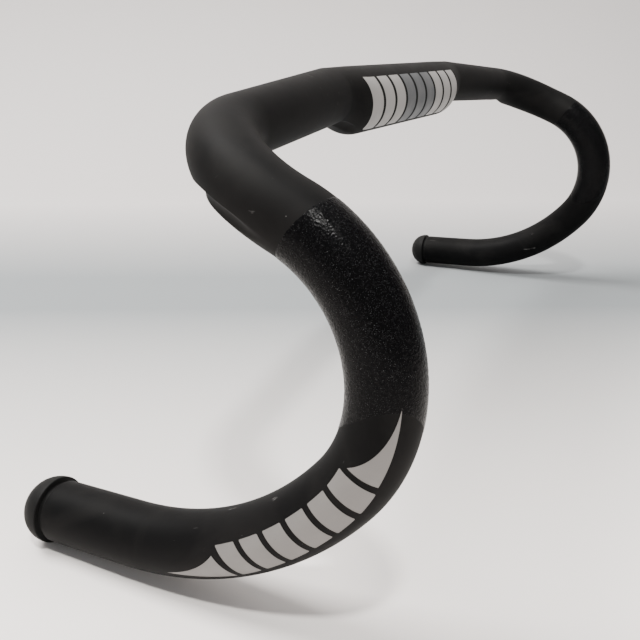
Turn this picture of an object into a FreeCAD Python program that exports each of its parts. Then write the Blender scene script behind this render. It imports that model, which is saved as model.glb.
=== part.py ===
import FreeCAD, Part
import math
import os
import Sketcher

# A bare road drop handlebar in moulded carbon, with its two expander end plugs.
# Row frame: origin in the middle of the stem clamp zone, +X towards the rider's right
# along the clamp, +Y forward, +Z up. Lengths are in millimetres, angles in degrees.
# The right half is modelled and the left half is its mirror image in the YZ plane.

Vector = FreeCAD.Vector
Rotation = FreeCAD.Rotation
Placement = FreeCAD.Placement

DIMENSIONS = [
    # centre section: round clamp zone, tapers, tops and bends
    ("clamp_radius", 15.9),
    ("clamp_half_length", 60.0),
    ("taper_length", 25.0),
    ("taper_relief", 0.2),
    ("tops_root_radius", 12.6),
    ("tops_end_radius", 11.7),
    ("tops_length", 87.5),
    ("tops_sweep", 6.5),
    ("tops_fall", 3.2),
    ("bend_radius", 48.5),
    ("bend_swell", 0.5),
    ("wall", 2.6),
    # drops: hook, lower curve and straight extension
    ("grip_radius", 11.9),
    ("drop_flare", 3.0),
    ("ramp_fall", 24.0),
    ("hook_radius", 53.0),
    ("hook_turn", 105.0),
    ("lower_radius", 116.0),
    ("extension_fall", 2.5),
    ("extension_length", 36.0),
    # bonded joint inside the lever clamp zone
    ("joint_turn", 16.0),
    ("sleeve_turn", 30.0),
    ("sleeve_wall", 1.6),
    ("bond_gap", 0.12),
    # shallow cable groove, cut by a round tool that lifts clear at both ends
    ("groove_tool_radius", 6.0),
    ("groove_depth", 1.4),
    ("groove_tool_lift", 0.4),
    ("groove_clamp_gap", 3.0),
    ("groove_hook_reach", 3.0),
    ("groove_run_in", 10.0),
    ("groove_run_out", 16.0),
    # where the groove lies round the section: 0 outside, 90 underneath, 180 inside
    ("groove_by_clamp", 112.0),
    ("groove_under_tops", 94.0),
    ("groove_on_ramp", 29.0),
    ("groove_swing_gap", 10.0),
    ("groove_tops_swing", 40.0),
    ("groove_bend_swing", 49.0),
    # end plug, measured outwards from the end of the tube
    ("plug_cap_radius", 13.0),
    ("plug_cap_height", 12.6),
    ("plug_cap_round", 11.8),
    ("plug_neck_radius", 10.8),
    ("plug_neck_length", 2.2),
    ("plug_seat_gap", 0.05),
    ("plug_spigot_radius", 5.2),
    ("plug_spigot_length", 4.0),
    ("expander_clearance", 0.08),
    ("expander_length", 24.0),
    ("expander_bore_radius", 5.3),
    ("expander_mouth_radius", 8.0),
    ("expander_cone_length", 12.0),
    ("slot_width", 1.6),
    ("slot_length", 17.0),
    ("slot_inner_reach", 3.0),
    ("slot_overcut", 1.0),
    ("nut_clearance", 0.06),
    ("nut_cone_length", 10.0),
    ("nut_tail_length", 4.5),
    ("nut_key_width", 1.3),
    ("nut_key_reach", 8.8),
    ("nut_key_length", 8.0),
    ("screw_radius", 2.0),
    ("screw_length", 45.0),
    ("screw_head_radius", 3.5),
    ("screw_head_height", 4.0),
    ("screw_hex_radius", 1.73),
    ("screw_hex_depth", 2.5),
    ("screw_head_recess", 0.5),
    ("screw_play", 0.2),
    ("thread_play", 0.04),
]

doc = FreeCAD.newDocument("drop_handlebar")


def make_sheet():
    """One row for each driving dimension: its name, its value and an alias."""
    cells = doc.addObject("Spreadsheet::Sheet", "dims")
    for row, (alias, value) in enumerate(DIMENSIONS, start=1):
        cells.set(f"A{row}", alias)
        cells.set(f"B{row}", str(value))
        cells.setAlias(f"B{row}", alias)
    doc.recompute()
    return cells


sheet = make_sheet()


def dim(alias):
    return float(sheet.get(alias))


def cell(alias):
    return f"<<dims>>.{alias}"


def ease(fraction):
    """Smooth step from 0 to 1 with no slope at either end."""
    k = min(max(fraction, 0.0), 1.0)
    return k * k * (3.0 - 2.0 * k)


def turned(vector, axis, angle):
    return Rotation(axis, angle).multVec(vector)


def axes_rotation(x_axis, z_axis):
    """Rotation that lays the local X and Z axes along two perpendicular directions."""
    return Rotation(x_axis, z_axis.cross(x_axis), z_axis, "ZXY")


# ---------------------------------------------------------------- centreline

X_AXIS = Vector(1, 0, 0)
Y_AXIS = Vector(0, 1, 0)
Z_AXIS = Vector(0, 0, 1)


class Centreline:
    """The right half's centreline, measured from the middle of the clamp.

    Clamp and taper run along X, the taper rising so that its top stays just under the
    clamp's and a stem clamp can slide over it. The tops sweep forward and fall a little,
    the bend turns them to the ramp, and the hook turns the ramp down in the flared plane
    of the drop.
    """

    def __init__(self):
        sweep = math.radians(dim("tops_sweep"))
        fall = math.radians(dim("tops_fall"))
        flare = math.radians(dim("drop_flare"))
        ramp = math.radians(dim("ramp_fall"))
        down = Vector(math.sin(flare), 0, -math.cos(flare))

        self.rise = dim("clamp_radius") - dim("tops_root_radius") - dim("taper_relief")
        self.tops_dir = Vector(1, math.tan(sweep), -math.tan(fall)).normalize()
        self.ramp_dir = Y_AXIS * math.cos(ramp) + down * math.sin(ramp)

        self.taper_start = dim("clamp_half_length")
        self.tops_start = self.taper_start + dim("taper_length")
        self.tops_origin = Vector(self.tops_start, 0, self.rise)

        self.bend_start = self.tops_start + dim("tops_length")
        self.bend_axis = self.tops_dir.cross(self.ramp_dir).normalize()
        self.bend_turn = math.degrees(self.tops_dir.getAngle(self.ramp_dir))
        self.bend_origin = self.tops_origin + self.tops_dir * dim("tops_length")
        self.bend_centre = self.bend_origin + self.bend_axis.cross(self.tops_dir) * dim("bend_radius")

        self.hook_start = self.bend_start + dim("bend_radius") * math.radians(self.bend_turn)
        self.hook_axis = Y_AXIS.cross(down)
        self.hook_origin = self.on_bend(self.bend_turn)[0]
        self.hook_centre = self.hook_origin + self.hook_axis.cross(self.ramp_dir) * dim("hook_radius")
        self.joint = self.hook_start + dim("hook_radius") * math.radians(dim("joint_turn"))

    def on_bend(self, angle):
        arm = turned(self.bend_origin - self.bend_centre, self.bend_axis, angle)
        return self.bend_centre + arm, turned(self.tops_dir, self.bend_axis, angle)

    def on_hook(self, angle):
        arm = turned(self.hook_origin - self.hook_centre, self.hook_axis, angle)
        return self.hook_centre + arm, turned(self.ramp_dir, self.hook_axis, angle)

    def at(self, station):
        """Point and heading at a distance along the centreline."""
        if station < self.tops_start:
            blend = ease((station - self.taper_start) / dim("taper_length"))
            heading = X_AXIS * (1.0 - blend) + self.tops_dir * blend
            return Vector(station, 0, self.rise * blend), heading.normalize()
        if station < self.bend_start:
            return self.tops_origin + self.tops_dir * (station - self.tops_start), self.tops_dir
        if station < self.hook_start:
            return self.on_bend(math.degrees((station - self.bend_start) / dim("bend_radius")))
        return self.on_hook(math.degrees((station - self.hook_start) / dim("hook_radius")))

    def section(self, station):
        """The two named radii that a station lies between, how far it is between them,
        and its share of the swell that the tube has in the middle of the bend."""
        if station < self.tops_start:
            blend = ease((station - self.taper_start) / dim("taper_length"))
            return "clamp_radius", "tops_root_radius", blend, 0.0
        if station < self.bend_start:
            blend = (station - self.tops_start) / dim("tops_length")
            return "tops_root_radius", "tops_end_radius", blend, 0.0
        if station < self.hook_start:
            blend = (station - self.bend_start) / (self.hook_start - self.bend_start)
            return "tops_end_radius", "grip_radius", blend, math.sin(math.pi * blend) ** 2
        return "grip_radius", "grip_radius", 0.0, 0.0

    def radius(self, station):
        first, second, blend, swell = self.section(station)
        return dim(first) + (dim(second) - dim(first)) * blend + dim("bend_swell") * swell

    def radius_formula(self, station):
        first, second, blend, swell = self.section(station)
        return (f"{cell(first)} + ({cell(second)} - {cell(first)}) * {blend:.6f}"
                f" + {cell('bend_swell')} * {swell:.6f}")

    def across(self, station):
        """Level direction towards the outside of the bar, and the one below it."""
        heading = self.at(station)[1]
        outward = heading.cross(Z_AXIS).normalize()
        return outward, heading.cross(outward)


line = Centreline()


def evenly(start, end, steps):
    return [start + (end - start) * i / steps for i in range(steps)]


def arm_stations():
    """Sections from the clamp to the bonded joint, closest together in the taper."""
    stations = evenly(line.taper_start, line.tops_start, 5)
    stations += evenly(line.tops_start, line.bend_start, 8)
    stations += evenly(line.bend_start, line.hook_start, 8)
    stations += evenly(line.hook_start, line.joint, 3)
    return stations + [line.joint]


# ------------------------------------------------------------ Part primitives

def circle_section(name, point, heading, x_axis, formula):
    circle = doc.addObject("Part::Circle", name)
    circle.setExpression("Radius", formula)
    circle.Placement = Placement(point, axes_rotation(x_axis, heading))
    return circle


def loft(name, sections):
    lofted = doc.addObject("Part::Loft", name)
    lofted.Sections = sections
    lofted.Solid = True
    lofted.Ruled = False
    return lofted


def cut(name, base, tool):
    result = doc.addObject("Part::Cut", name)
    result.Base = base
    result.Tool = tool
    return result


def fused(name, shapes):
    result = doc.addObject("Part::MultiFuse", name)
    result.Shapes = shapes
    result.Refine = True
    return result


def mirrored(name, source):
    result = doc.addObject("Part::Mirroring", name)
    result.Source = source
    result.Normal = X_AXIS
    return result


def clamp_cylinder(name, formula):
    cylinder = doc.addObject("Part::Cylinder", name)
    cylinder.setExpression("Radius", formula)
    cylinder.setExpression("Height", f"2 * {cell('clamp_half_length')}")
    cylinder.Placement = Placement(Vector(-dim("clamp_half_length"), 0, 0), Rotation(Z_AXIS, X_AXIS))
    return cylinder


def arm_loft(name, inset, stations):
    sections = []
    for i, station in enumerate(stations):
        point, heading = line.at(station)
        outward = line.across(station)[0]
        formula = line.radius_formula(station) + inset
        sections.append(circle_section(f"{name}_section_{i:02d}", point, heading, outward, formula))
    return loft(name, sections)


def groove_angle(station):
    """Where the groove lies round the section at a station."""
    if station < line.bend_start:
        first, last = dim("groove_by_clamp"), dim("groove_under_tops")
        swing = (station - line.taper_start - dim("groove_swing_gap")) / dim("groove_tops_swing")
    else:
        first, last = dim("groove_under_tops"), dim("groove_on_ramp")
        swing = (station - line.bend_start) / dim("groove_bend_swing")
    return first + (last - first) * ease(swing)


GROOVE_START = line.taper_start + dim("groove_clamp_gap")
GROOVE_END = line.hook_start + dim("groove_hook_reach")


def groove_depth(station):
    """Full depth between two round run-outs, where the tool lifts clear of the surface."""
    lift = dim("groove_tool_lift")
    start = ease((station - GROOVE_START) / dim("groove_run_in"))
    finish = ease((GROOVE_END - station) / dim("groove_run_out"))
    return (dim("groove_depth") + lift) * min(start, finish) - lift


def groove_tool(name, start, end, steps):
    """Round tool along one stretch of the groove, half of it outside the surface."""
    sections = []
    for i, station in enumerate(evenly(start, end, steps) + [end]):
        point, heading = line.at(station)
        outward, below = line.across(station)
        angle = math.radians(groove_angle(station))
        away = outward * math.cos(angle) + below * math.sin(angle)
        reach = line.radius(station) + dim("groove_tool_radius") - groove_depth(station)
        sections.append(circle_section(f"{name}_section_{i:02d}", point + away * reach, heading,
                                       outward, cell("groove_tool_radius")))
    return loft(name, sections)


def cut_groove(base):
    """The groove in three stretches: under the tops, into the bend, and out to the ramp."""
    into_bend, out_of_bend = 0.15, 0.5
    bend_length = line.hook_start - line.bend_start
    marks = [GROOVE_START, line.bend_start + bend_length * into_bend,
             line.bend_start + bend_length * out_of_bend, GROOVE_END]
    for i, steps in enumerate((14, 4, 5)):
        tool = groove_tool(f"groove_{i}", marks[i], marks[i + 1], steps)
        base = cut(f"arm_with_groove_{i}", base, tool)
    return base


def make_centre_section():
    """Hollow moulding: round clamp zone, tapers, tops and bends up to the bonded joints."""
    inset = f" - {cell('wall')}"
    clamp = cut("clamp_tube", clamp_cylinder("clamp_outside", cell("clamp_radius")),
                clamp_cylinder("clamp_inside", cell("clamp_radius") + inset))
    stations = arm_stations()
    outside = arm_loft("arm_outside", "", stations)
    inside = arm_loft("arm_inside", inset, stations)
    tube = cut("arm_tube", outside, inside)
    arm = cut_groove(tube)
    return fused("centre_section", [clamp, arm, mirrored("left_arm", arm)])


# --------------------------------------------------------- PartDesign helpers

def new_body(name, placement):
    body = doc.addObject("PartDesign::Body", name)
    body.Placement = placement
    return body


def base_plane(body, role):
    return next(item for item in body.Origin.OriginFeatures if item.Role == role)


def new_sketch(body, name, role="XY_Plane", height="0"):
    """A sketch on one of the body's own planes, raised by a formula from the sheet."""
    sketch = body.newObject("Sketcher::SketchObject", name)
    sketch.AttachmentSupport = [(base_plane(body, role), "")]
    sketch.MapMode = "FlatFace"
    sketch.setExpression("AttachmentOffset.Base.z", height)
    return sketch


def constrain(sketch, kind, *arguments, formula=None):
    index = sketch.addConstraint(Sketcher.Constraint(kind, *arguments))
    if formula:
        sketch.setExpression(f"Constraints[{index}]", formula)
    return index


ORIGIN_POINT = (-1, 1)


def circle_sketch(body, name, formula, start_value, role="XY_Plane", height="0"):
    sketch = new_sketch(body, name, role, height)
    circle = sketch.addGeometry(Part.Circle(Vector(0, 0, 0), Z_AXIS, start_value))
    constrain(sketch, "Coincident", circle, 3, *ORIGIN_POINT)
    constrain(sketch, "Radius", circle, start_value, formula=formula)
    return sketch


def outline_sketch(body, name, corners, role="XZ_Plane"):
    """A closed outline whose corners are pairs of formulas, each bound to the sheet."""
    sketch = new_sketch(body, name, role)
    places = [Vector(evaluate(x), evaluate(y), 0) for x, y in corners]
    count = len(corners)
    for i in range(count):
        sketch.addGeometry(Part.LineSegment(places[i], places[(i + 1) % count]))
    for i in range(count):
        constrain(sketch, "Coincident", i, 2, (i + 1) % count, 1)
    for i, (x, y) in enumerate(corners):
        constrain(sketch, "DistanceX", *ORIGIN_POINT, i, 1, places[i].x, formula=x)
        constrain(sketch, "DistanceY", *ORIGIN_POINT, i, 1, places[i].y, formula=y)
    return sketch


probe = doc.addObject("App::FeaturePython", "probe")
probe.addProperty("App::PropertyFloat", "value")


def evaluate(formula):
    """The number that a formula over the sheet's cells gives."""
    probe.setExpression("value", formula)
    probe.recompute()
    return probe.value


def pad(body, sketch, name, length, reverse=False):
    feature = body.newObject("PartDesign::Pad", name)
    feature.Profile = sketch
    feature.setExpression("Length", length)
    feature.Reversed = reverse
    return feature


def pocket(body, sketch, name, length, reverse=False):
    feature = body.newObject("PartDesign::Pocket", name)
    feature.Profile = sketch
    feature.setExpression("Length", length)
    feature.Reversed = reverse
    return feature


def pipe(body, kind, name, profile, spine):
    feature = body.newObject(f"PartDesign::{kind}", name)
    feature.Profile = profile
    feature.Spine = (spine, [f"Edge{i + 1}" for i in range(spine.GeometryCount)])
    return feature


# ----------------------------------------------------------------- the drops

def hook_placement(angle):
    """Local X along the hook at this angle, local Y towards its centre."""
    point, heading = line.on_hook(angle)
    return Placement(point, axes_rotation(heading, line.hook_axis))


LOWER_TURN = f"(180 - {cell('ramp_fall')} - {cell('hook_turn')} - {cell('extension_fall')})"


def drop_spine(body):
    """Rest of the hook, then the lower curve, then the straight extension."""
    hook_left = dim("hook_turn") - dim("joint_turn")
    lower_turn = evaluate(LOWER_TURN)
    hook_r = dim("hook_radius")
    lower_r = dim("lower_radius")
    start = math.radians(-90.0)
    change = start + math.radians(hook_left)
    finish = change + math.radians(lower_turn)
    lower_centre = Vector((hook_r - lower_r) * math.cos(change),
                          hook_r + (hook_r - lower_r) * math.sin(change), 0)
    tail_from = lower_centre + Vector(math.cos(finish), math.sin(finish), 0) * lower_r
    tail_to = tail_from + Vector(-math.sin(finish), math.cos(finish), 0) * dim("extension_length")

    sketch = new_sketch(body, f"{body.Name}_spine")
    hook = sketch.addGeometry(
        Part.ArcOfCircle(Part.Circle(Vector(0, hook_r, 0), Z_AXIS, hook_r), start, change))
    lower = sketch.addGeometry(
        Part.ArcOfCircle(Part.Circle(lower_centre, Z_AXIS, lower_r), change, finish))
    tail = sketch.addGeometry(Part.LineSegment(tail_from, tail_to))
    constrain(sketch, "Coincident", hook, 1, *ORIGIN_POINT)
    constrain(sketch, "PointOnObject", hook, 3, -2)
    constrain(sketch, "Tangent", hook, 2, lower, 1)
    constrain(sketch, "Tangent", lower, 2, tail, 1)
    constrain(sketch, "Radius", hook, hook_r, formula=cell("hook_radius"))
    constrain(sketch, "Radius", lower, lower_r, formula=cell("lower_radius"))
    constrain(sketch, "Angle", hook, math.radians(hook_left),
              formula=f"({cell('hook_turn')} - {cell('joint_turn')}) * 1 deg")
    constrain(sketch, "Angle", lower, math.radians(lower_turn), formula=f"{LOWER_TURN} * 1 deg")
    constrain(sketch, "Distance", tail, dim("extension_length"), formula=cell("extension_length"))
    return sketch


def make_drop():
    """Hollow moulded drop, one pipe inside another along the same spine."""
    body = new_body("right_drop", hook_placement(dim("joint_turn")))
    spine = drop_spine(body)
    outer = circle_sketch(body, "right_drop_outside", cell("grip_radius"), dim("grip_radius"), "YZ_Plane")
    pipe(body, "AdditivePipe", "right_drop_tube", outer, spine)
    bore_radius = f"{cell('grip_radius')} - {cell('wall')}"
    inner = circle_sketch(body, "right_drop_inside", bore_radius, evaluate(bore_radius), "YZ_Plane")
    pipe(body, "SubtractivePipe", "right_drop_bore", inner, spine)
    return body


def make_joint_sleeve():
    """Curved sleeve bonded inside both mouldings, centred on their joint."""
    first = dim("joint_turn") - dim("sleeve_turn") / 2.0
    body = new_body("right_joint_sleeve", hook_placement(first))
    spine = new_sketch(body, "right_sleeve_spine")
    radius = dim("hook_radius")
    turn = math.radians(dim("sleeve_turn"))
    start = math.radians(-90.0)
    arc = spine.addGeometry(
        Part.ArcOfCircle(Part.Circle(Vector(0, radius, 0), Z_AXIS, radius), start, start + turn))
    constrain(spine, "Coincident", arc, 1, *ORIGIN_POINT)
    constrain(spine, "PointOnObject", arc, 3, -2)
    constrain(spine, "Radius", arc, radius, formula=cell("hook_radius"))
    constrain(spine, "Angle", arc, turn, formula=f"{cell('sleeve_turn')} * 1 deg")

    outside = f"{cell('grip_radius')} - {cell('wall')} - {cell('bond_gap')}"
    outer = circle_sketch(body, "right_sleeve_outside", outside, evaluate(outside), "YZ_Plane")
    pipe(body, "AdditivePipe", "right_sleeve_tube", outer, spine)
    inside = f"{outside} - {cell('sleeve_wall')}"
    inner = circle_sketch(body, "right_sleeve_inside", inside, evaluate(inside), "YZ_Plane")
    pipe(body, "SubtractivePipe", "right_sleeve_bore", inner, spine)
    return body


# ------------------------------------------------------------------ end plugs

def plug_placement():
    """Local Z out of the tube along the extension, origin in the middle of its open end."""
    lower_turn = evaluate(LOWER_TURN)
    change, heading = line.on_hook(dim("hook_turn"))
    lower_centre = change + line.hook_axis.cross(heading) * dim("lower_radius")
    lower_end = lower_centre + turned(change - lower_centre, line.hook_axis, lower_turn)
    outward = turned(heading, line.hook_axis, lower_turn)
    return Placement(lower_end + outward * dim("extension_length"),
                     axes_rotation(line.hook_axis, outward))


PLUG = plug_placement()
CAP_TOP = f"{cell('plug_neck_length')} + {cell('plug_cap_height')}"
HEAD_SEAT = f"{CAP_TOP} - {cell('screw_head_recess')} - {cell('screw_head_height')}"
SCREW_HOLE = f"{cell('screw_radius')} + {cell('screw_play')}"
TUBE_BORE = f"({cell('grip_radius')} - {cell('wall')})"


def make_plug_cap():
    """Domed cap on a narrower neck, with a spigot, a screw hole and a recess for the head."""
    body = new_body("right_plug_cap", PLUG)
    neck = circle_sketch(body, "cap_neck_circle", cell("plug_neck_radius"), dim("plug_neck_radius"),
                         height=cell("plug_seat_gap"))
    pad(body, neck, "cap_neck", f"{cell('plug_neck_length')} - {cell('plug_seat_gap')}")
    dome = circle_sketch(body, "cap_dome_circle", cell("plug_cap_radius"), dim("plug_cap_radius"),
                         height=cell("plug_neck_length"))
    solid = pad(body, dome, "cap_dome", cell("plug_cap_height"))
    doc.recompute()
    rounding = body.newObject("PartDesign::Fillet", "cap_round")
    rounding.Base = (solid, [highest_round_edge(solid.Shape)])
    rounding.setExpression("Radius", cell("plug_cap_round"))
    spigot = circle_sketch(body, "cap_spigot_circle", cell("plug_spigot_radius"),
                           dim("plug_spigot_radius"), height=cell("plug_seat_gap"))
    pad(body, spigot, "cap_spigot", f"{cell('plug_spigot_length')} + {cell('plug_seat_gap')}", reverse=True)
    recess_radius = f"{cell('screw_head_radius')} + {cell('screw_play')}"
    recess = circle_sketch(body, "cap_recess_circle", recess_radius, evaluate(recess_radius), height=CAP_TOP)
    pocket(body, recess, "cap_recess", f"{CAP_TOP} - ({HEAD_SEAT})")
    hole = circle_sketch(body, "cap_hole_circle", SCREW_HOLE, evaluate(SCREW_HOLE), height=CAP_TOP)
    pocket(body, hole, "cap_hole", f"{CAP_TOP} + 2 * {cell('plug_spigot_length')}")
    return body


def highest_round_edge(shape):
    """Name of the circle furthest along Z in a feature's own frame."""
    circles = [(edge.Curve.Center.z, i) for i, edge in enumerate(shape.Edges, start=1)
               if isinstance(edge.Curve, Part.Circle)]
    return f"Edge{max(circles)[1]}"


def make_plug_expander():
    """Slotted rubber sleeve with a conical mouth that the nut draws into."""
    body = new_body("right_plug_expander", PLUG)
    outside = f"({TUBE_BORE} - {cell('expander_clearance')})"
    top = f"-{cell('plug_seat_gap')}"
    end = f"-{cell('plug_seat_gap')} - {cell('expander_length')}"
    cone_top = f"{end} + {cell('expander_cone_length')}"
    bore = cell("expander_bore_radius")
    corners = [(bore, top), (outside, top), (outside, end), (cell("expander_mouth_radius"), end),
               (bore, cone_top)]
    turning = body.newObject("PartDesign::Revolution", "expander_sleeve")
    turning.Profile = outline_sketch(body, "expander_outline", corners)
    turning.ReferenceAxis = (turning.Profile[0], ["V_Axis"])
    turning.Angle = 360.0

    past_outside = f"{outside} + {cell('slot_overcut')}"
    slot = slot_sketch(body, "expander_slot_outline", cell("slot_width"), past_outside, end)
    slit = pocket(body, slot, "expander_slot", cell("slot_length"), reverse=True)
    around = body.newObject("PartDesign::PolarPattern", "expander_slots")
    around.Originals = [slit]
    around.Axis = (slot, ["N_Axis"])
    around.Angle = 360.0
    around.Occurrences = 4
    body.Tip = around
    return body


def slot_sketch(body, name, width, reach, height):
    """A rectangle out to a reach from the axis, centred on the local X axis."""
    sketch = new_sketch(body, name, "XY_Plane", height)
    half = evaluate(width) / 2.0
    inner = dim("slot_inner_reach")
    far = evaluate(reach)
    corners = [Vector(inner, -half, 0), Vector(far, -half, 0), Vector(far, half, 0), Vector(inner, half, 0)]
    for i in range(4):
        sketch.addGeometry(Part.LineSegment(corners[i], corners[(i + 1) % 4]))
    for i in range(4):
        constrain(sketch, "Coincident", i, 2, (i + 1) % 4, 1)
    constrain(sketch, "Horizontal", 0)
    constrain(sketch, "Horizontal", 2)
    constrain(sketch, "Vertical", 1)
    constrain(sketch, "DistanceX", *ORIGIN_POINT, 0, 1, inner, formula=cell("slot_inner_reach"))
    constrain(sketch, "DistanceX", *ORIGIN_POINT, 1, 1, far, formula=reach)
    constrain(sketch, "DistanceY", 1, 1, 1, 2, 2 * half, formula=width)
    constrain(sketch, "Symmetric", 0, 1, 2, 2, -1)
    return sketch


def make_plug_nut():
    """Cone nut inside the sleeve's mouth, kept from turning by keys in two of the slots."""
    body = new_body("right_plug_nut", PLUG)
    mouth = f"-{cell('plug_seat_gap')} - {cell('expander_length')}"
    slope = (f"({cell('expander_mouth_radius')} - {cell('expander_bore_radius')})"
             f" / {cell('expander_cone_length')}")
    large = f"{cell('expander_mouth_radius')} - {cell('nut_clearance')}"
    small = f"{large} - {slope} * {cell('nut_cone_length')}"
    cone_top = f"{mouth} + {cell('nut_cone_length')}"
    tail = f"{mouth} - {cell('nut_tail_length')}"
    bore = f"{cell('screw_radius')} + {cell('thread_play')}"
    corners = [(bore, cone_top), (small, cone_top), (large, mouth), (large, tail), (bore, tail)]
    turning = body.newObject("PartDesign::Revolution", "nut_cone")
    turning.Profile = outline_sketch(body, "nut_outline", corners)
    turning.ReferenceAxis = (turning.Profile[0], ["V_Axis"])
    turning.Angle = 360.0

    key = slot_sketch(body, "nut_key_outline", cell("nut_key_width"), cell("nut_key_reach"), mouth)
    rib = pad(body, key, "nut_key", cell("nut_key_length"))
    around = body.newObject("PartDesign::PolarPattern", "nut_keys")
    around.Originals = [rib]
    around.Axis = (key, ["N_Axis"])
    around.Angle = 360.0
    around.Occurrences = 2
    body.Tip = around
    return body


def make_plug_screw():
    """Socket cap screw; its thread is a plain cylinder at the outside diameter."""
    body = new_body("right_plug_screw", PLUG)
    shank = circle_sketch(body, "screw_shank_circle", cell("screw_radius"), dim("screw_radius"),
                          height=HEAD_SEAT)
    pad(body, shank, "screw_shank", cell("screw_length"), reverse=True)
    head = circle_sketch(body, "screw_head_circle", cell("screw_head_radius"), dim("screw_head_radius"),
                         height=HEAD_SEAT)
    pad(body, head, "screw_head", cell("screw_head_height"))
    head_top = f"{HEAD_SEAT} + {cell('screw_head_height')}"
    socket = new_sketch(body, "screw_socket_hexagon", "XY_Plane", head_top)
    across = dim("screw_hex_radius")
    corners = [turned(X_AXIS * across, Z_AXIS, 60.0 * i) for i in range(6)]
    for i in range(6):
        socket.addGeometry(Part.LineSegment(corners[i], corners[(i + 1) % 6]))
    ring = socket.addGeometry(Part.Circle(Vector(0, 0, 0), Z_AXIS, across), True)
    for i in range(6):
        constrain(socket, "Coincident", i, 2, (i + 1) % 6, 1)
        constrain(socket, "PointOnObject", i, 1, ring)
    for i in range(5):
        constrain(socket, "Equal", i, i + 1)
    constrain(socket, "Coincident", ring, 3, *ORIGIN_POINT)
    constrain(socket, "PointOnObject", 0, 1, -1)
    constrain(socket, "Radius", ring, across, formula=cell("screw_hex_radius"))
    pocket(body, socket, "screw_socket", cell("screw_hex_depth"))
    return body


# ------------------------------------------------------------------- assembly

def left_of(right_piece):
    return mirrored(right_piece.Name.replace("right_", "left_"), right_piece)


def build():
    pieces = [make_centre_section()]
    for make in (make_drop, make_joint_sleeve, make_plug_cap, make_plug_expander,
                 make_plug_nut, make_plug_screw):
        right_piece = make()
        pieces += [right_piece, left_of(right_piece)]
    doc.recompute()
    return pieces


def check(pieces):
    for item in doc.Objects:
        if "Invalid" in item.State or "Error" in item.State:
            raise RuntimeError(f"{item.Name} failed: {item.State} {item.getStatusString()}")
    for piece in pieces:
        if piece.Shape.isNull() or not piece.Shape.isValid() or len(piece.Shape.Solids) != 1:
            raise RuntimeError(f"{piece.Name} is not one valid solid")


def export(pieces):
    os.makedirs("parts", exist_ok=True)
    for piece in pieces:
        piece.Label = piece.Name
        piece.Shape.exportStep(f"parts/{piece.Label}.step")
        box = piece.Shape.BoundBox
        print(f"{piece.Label:22s} {piece.Shape.Volume:10.1f} mm3  x {box.XMin:7.1f} {box.XMax:7.1f}"
              f"  y {box.YMin:6.1f} {box.YMax:6.1f}  z {box.ZMin:7.1f} {box.ZMax:6.1f}")


parts = build()
doc.removeObject(probe.Name)
check(parts)
export(parts)
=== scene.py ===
import math

import bmesh
import bpy
import numpy as np
from mathutils import Matrix, Vector


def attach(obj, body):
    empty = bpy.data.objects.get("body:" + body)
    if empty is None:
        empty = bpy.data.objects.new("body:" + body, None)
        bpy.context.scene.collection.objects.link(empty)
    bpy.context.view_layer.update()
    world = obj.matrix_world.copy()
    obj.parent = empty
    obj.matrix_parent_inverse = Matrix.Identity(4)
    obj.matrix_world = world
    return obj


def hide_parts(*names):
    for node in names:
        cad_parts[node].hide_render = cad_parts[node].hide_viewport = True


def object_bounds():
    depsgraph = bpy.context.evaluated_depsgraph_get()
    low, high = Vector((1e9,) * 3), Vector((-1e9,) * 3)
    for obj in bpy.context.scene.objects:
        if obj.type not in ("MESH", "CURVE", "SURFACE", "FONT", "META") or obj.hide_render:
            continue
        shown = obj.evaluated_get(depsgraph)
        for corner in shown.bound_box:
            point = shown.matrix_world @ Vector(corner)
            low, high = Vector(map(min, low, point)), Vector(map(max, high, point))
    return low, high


# Looks of a bare carbon drop handlebar. Lengths are in millimetres in the bar's own frame
# (origin in the middle of the stem clamp, +X rider's right, +Y forward, +Z up) until a mesh
# is made, and angles are in degrees unless a name says otherwise.

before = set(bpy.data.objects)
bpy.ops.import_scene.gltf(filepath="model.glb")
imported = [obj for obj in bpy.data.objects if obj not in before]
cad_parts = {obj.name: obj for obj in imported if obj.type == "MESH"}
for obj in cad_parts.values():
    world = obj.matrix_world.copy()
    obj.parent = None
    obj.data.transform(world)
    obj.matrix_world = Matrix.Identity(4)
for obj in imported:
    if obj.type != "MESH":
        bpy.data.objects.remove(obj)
cad_low, cad_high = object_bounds()

MM = 0.001
SIDES = {"right": 1.0, "left": -1.0}

# the CAD design's driving dimensions that the looks repeat
CLAMP_RADIUS = 15.9
CLAMP_HALF = 60.0
TAPER_LENGTH = 25.0
TAPER_RELIEF = 0.2
TOPS_ROOT_RADIUS = 12.6
TOPS_END_RADIUS = 11.7
TOPS_LENGTH = 87.5
TOPS_SWEEP = 6.5
TOPS_FALL = 3.2
BEND_RADIUS = 48.5
BEND_SWELL = 0.5
WALL = 2.6
GRIP_RADIUS = 11.9
DROP_FLARE = 3.0
RAMP_FALL = 24.0
HOOK_RADIUS = 53.0
HOOK_TURN = 105.0
LOWER_RADIUS = 116.0
EXTENSION_FALL = 2.5
EXTENSION_LENGTH = 36.0
JOINT_TURN = 16.0
GROOVE_TOOL_RADIUS = 6.0
GROOVE_DEPTH = 1.4
GROOVE_TOOL_LIFT = 0.4
GROOVE_CLAMP_GAP = 3.0
GROOVE_HOOK_REACH = 3.0
GROOVE_RUN_IN = 10.0
GROOVE_RUN_OUT = 16.0
GROOVE_BY_CLAMP = 112.0
GROOVE_UNDER_TOPS = 94.0
GROOVE_ON_RAMP = 29.0
GROOVE_SWING_GAP = 10.0
GROOVE_TOPS_SWING = 40.0
GROOVE_BEND_SWING = 49.0
PLUG_CAP_RADIUS = 13.0
PLUG_CAP_HEIGHT = 12.6
PLUG_CAP_ROUND = 11.8
PLUG_NECK_RADIUS = 10.8
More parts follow.
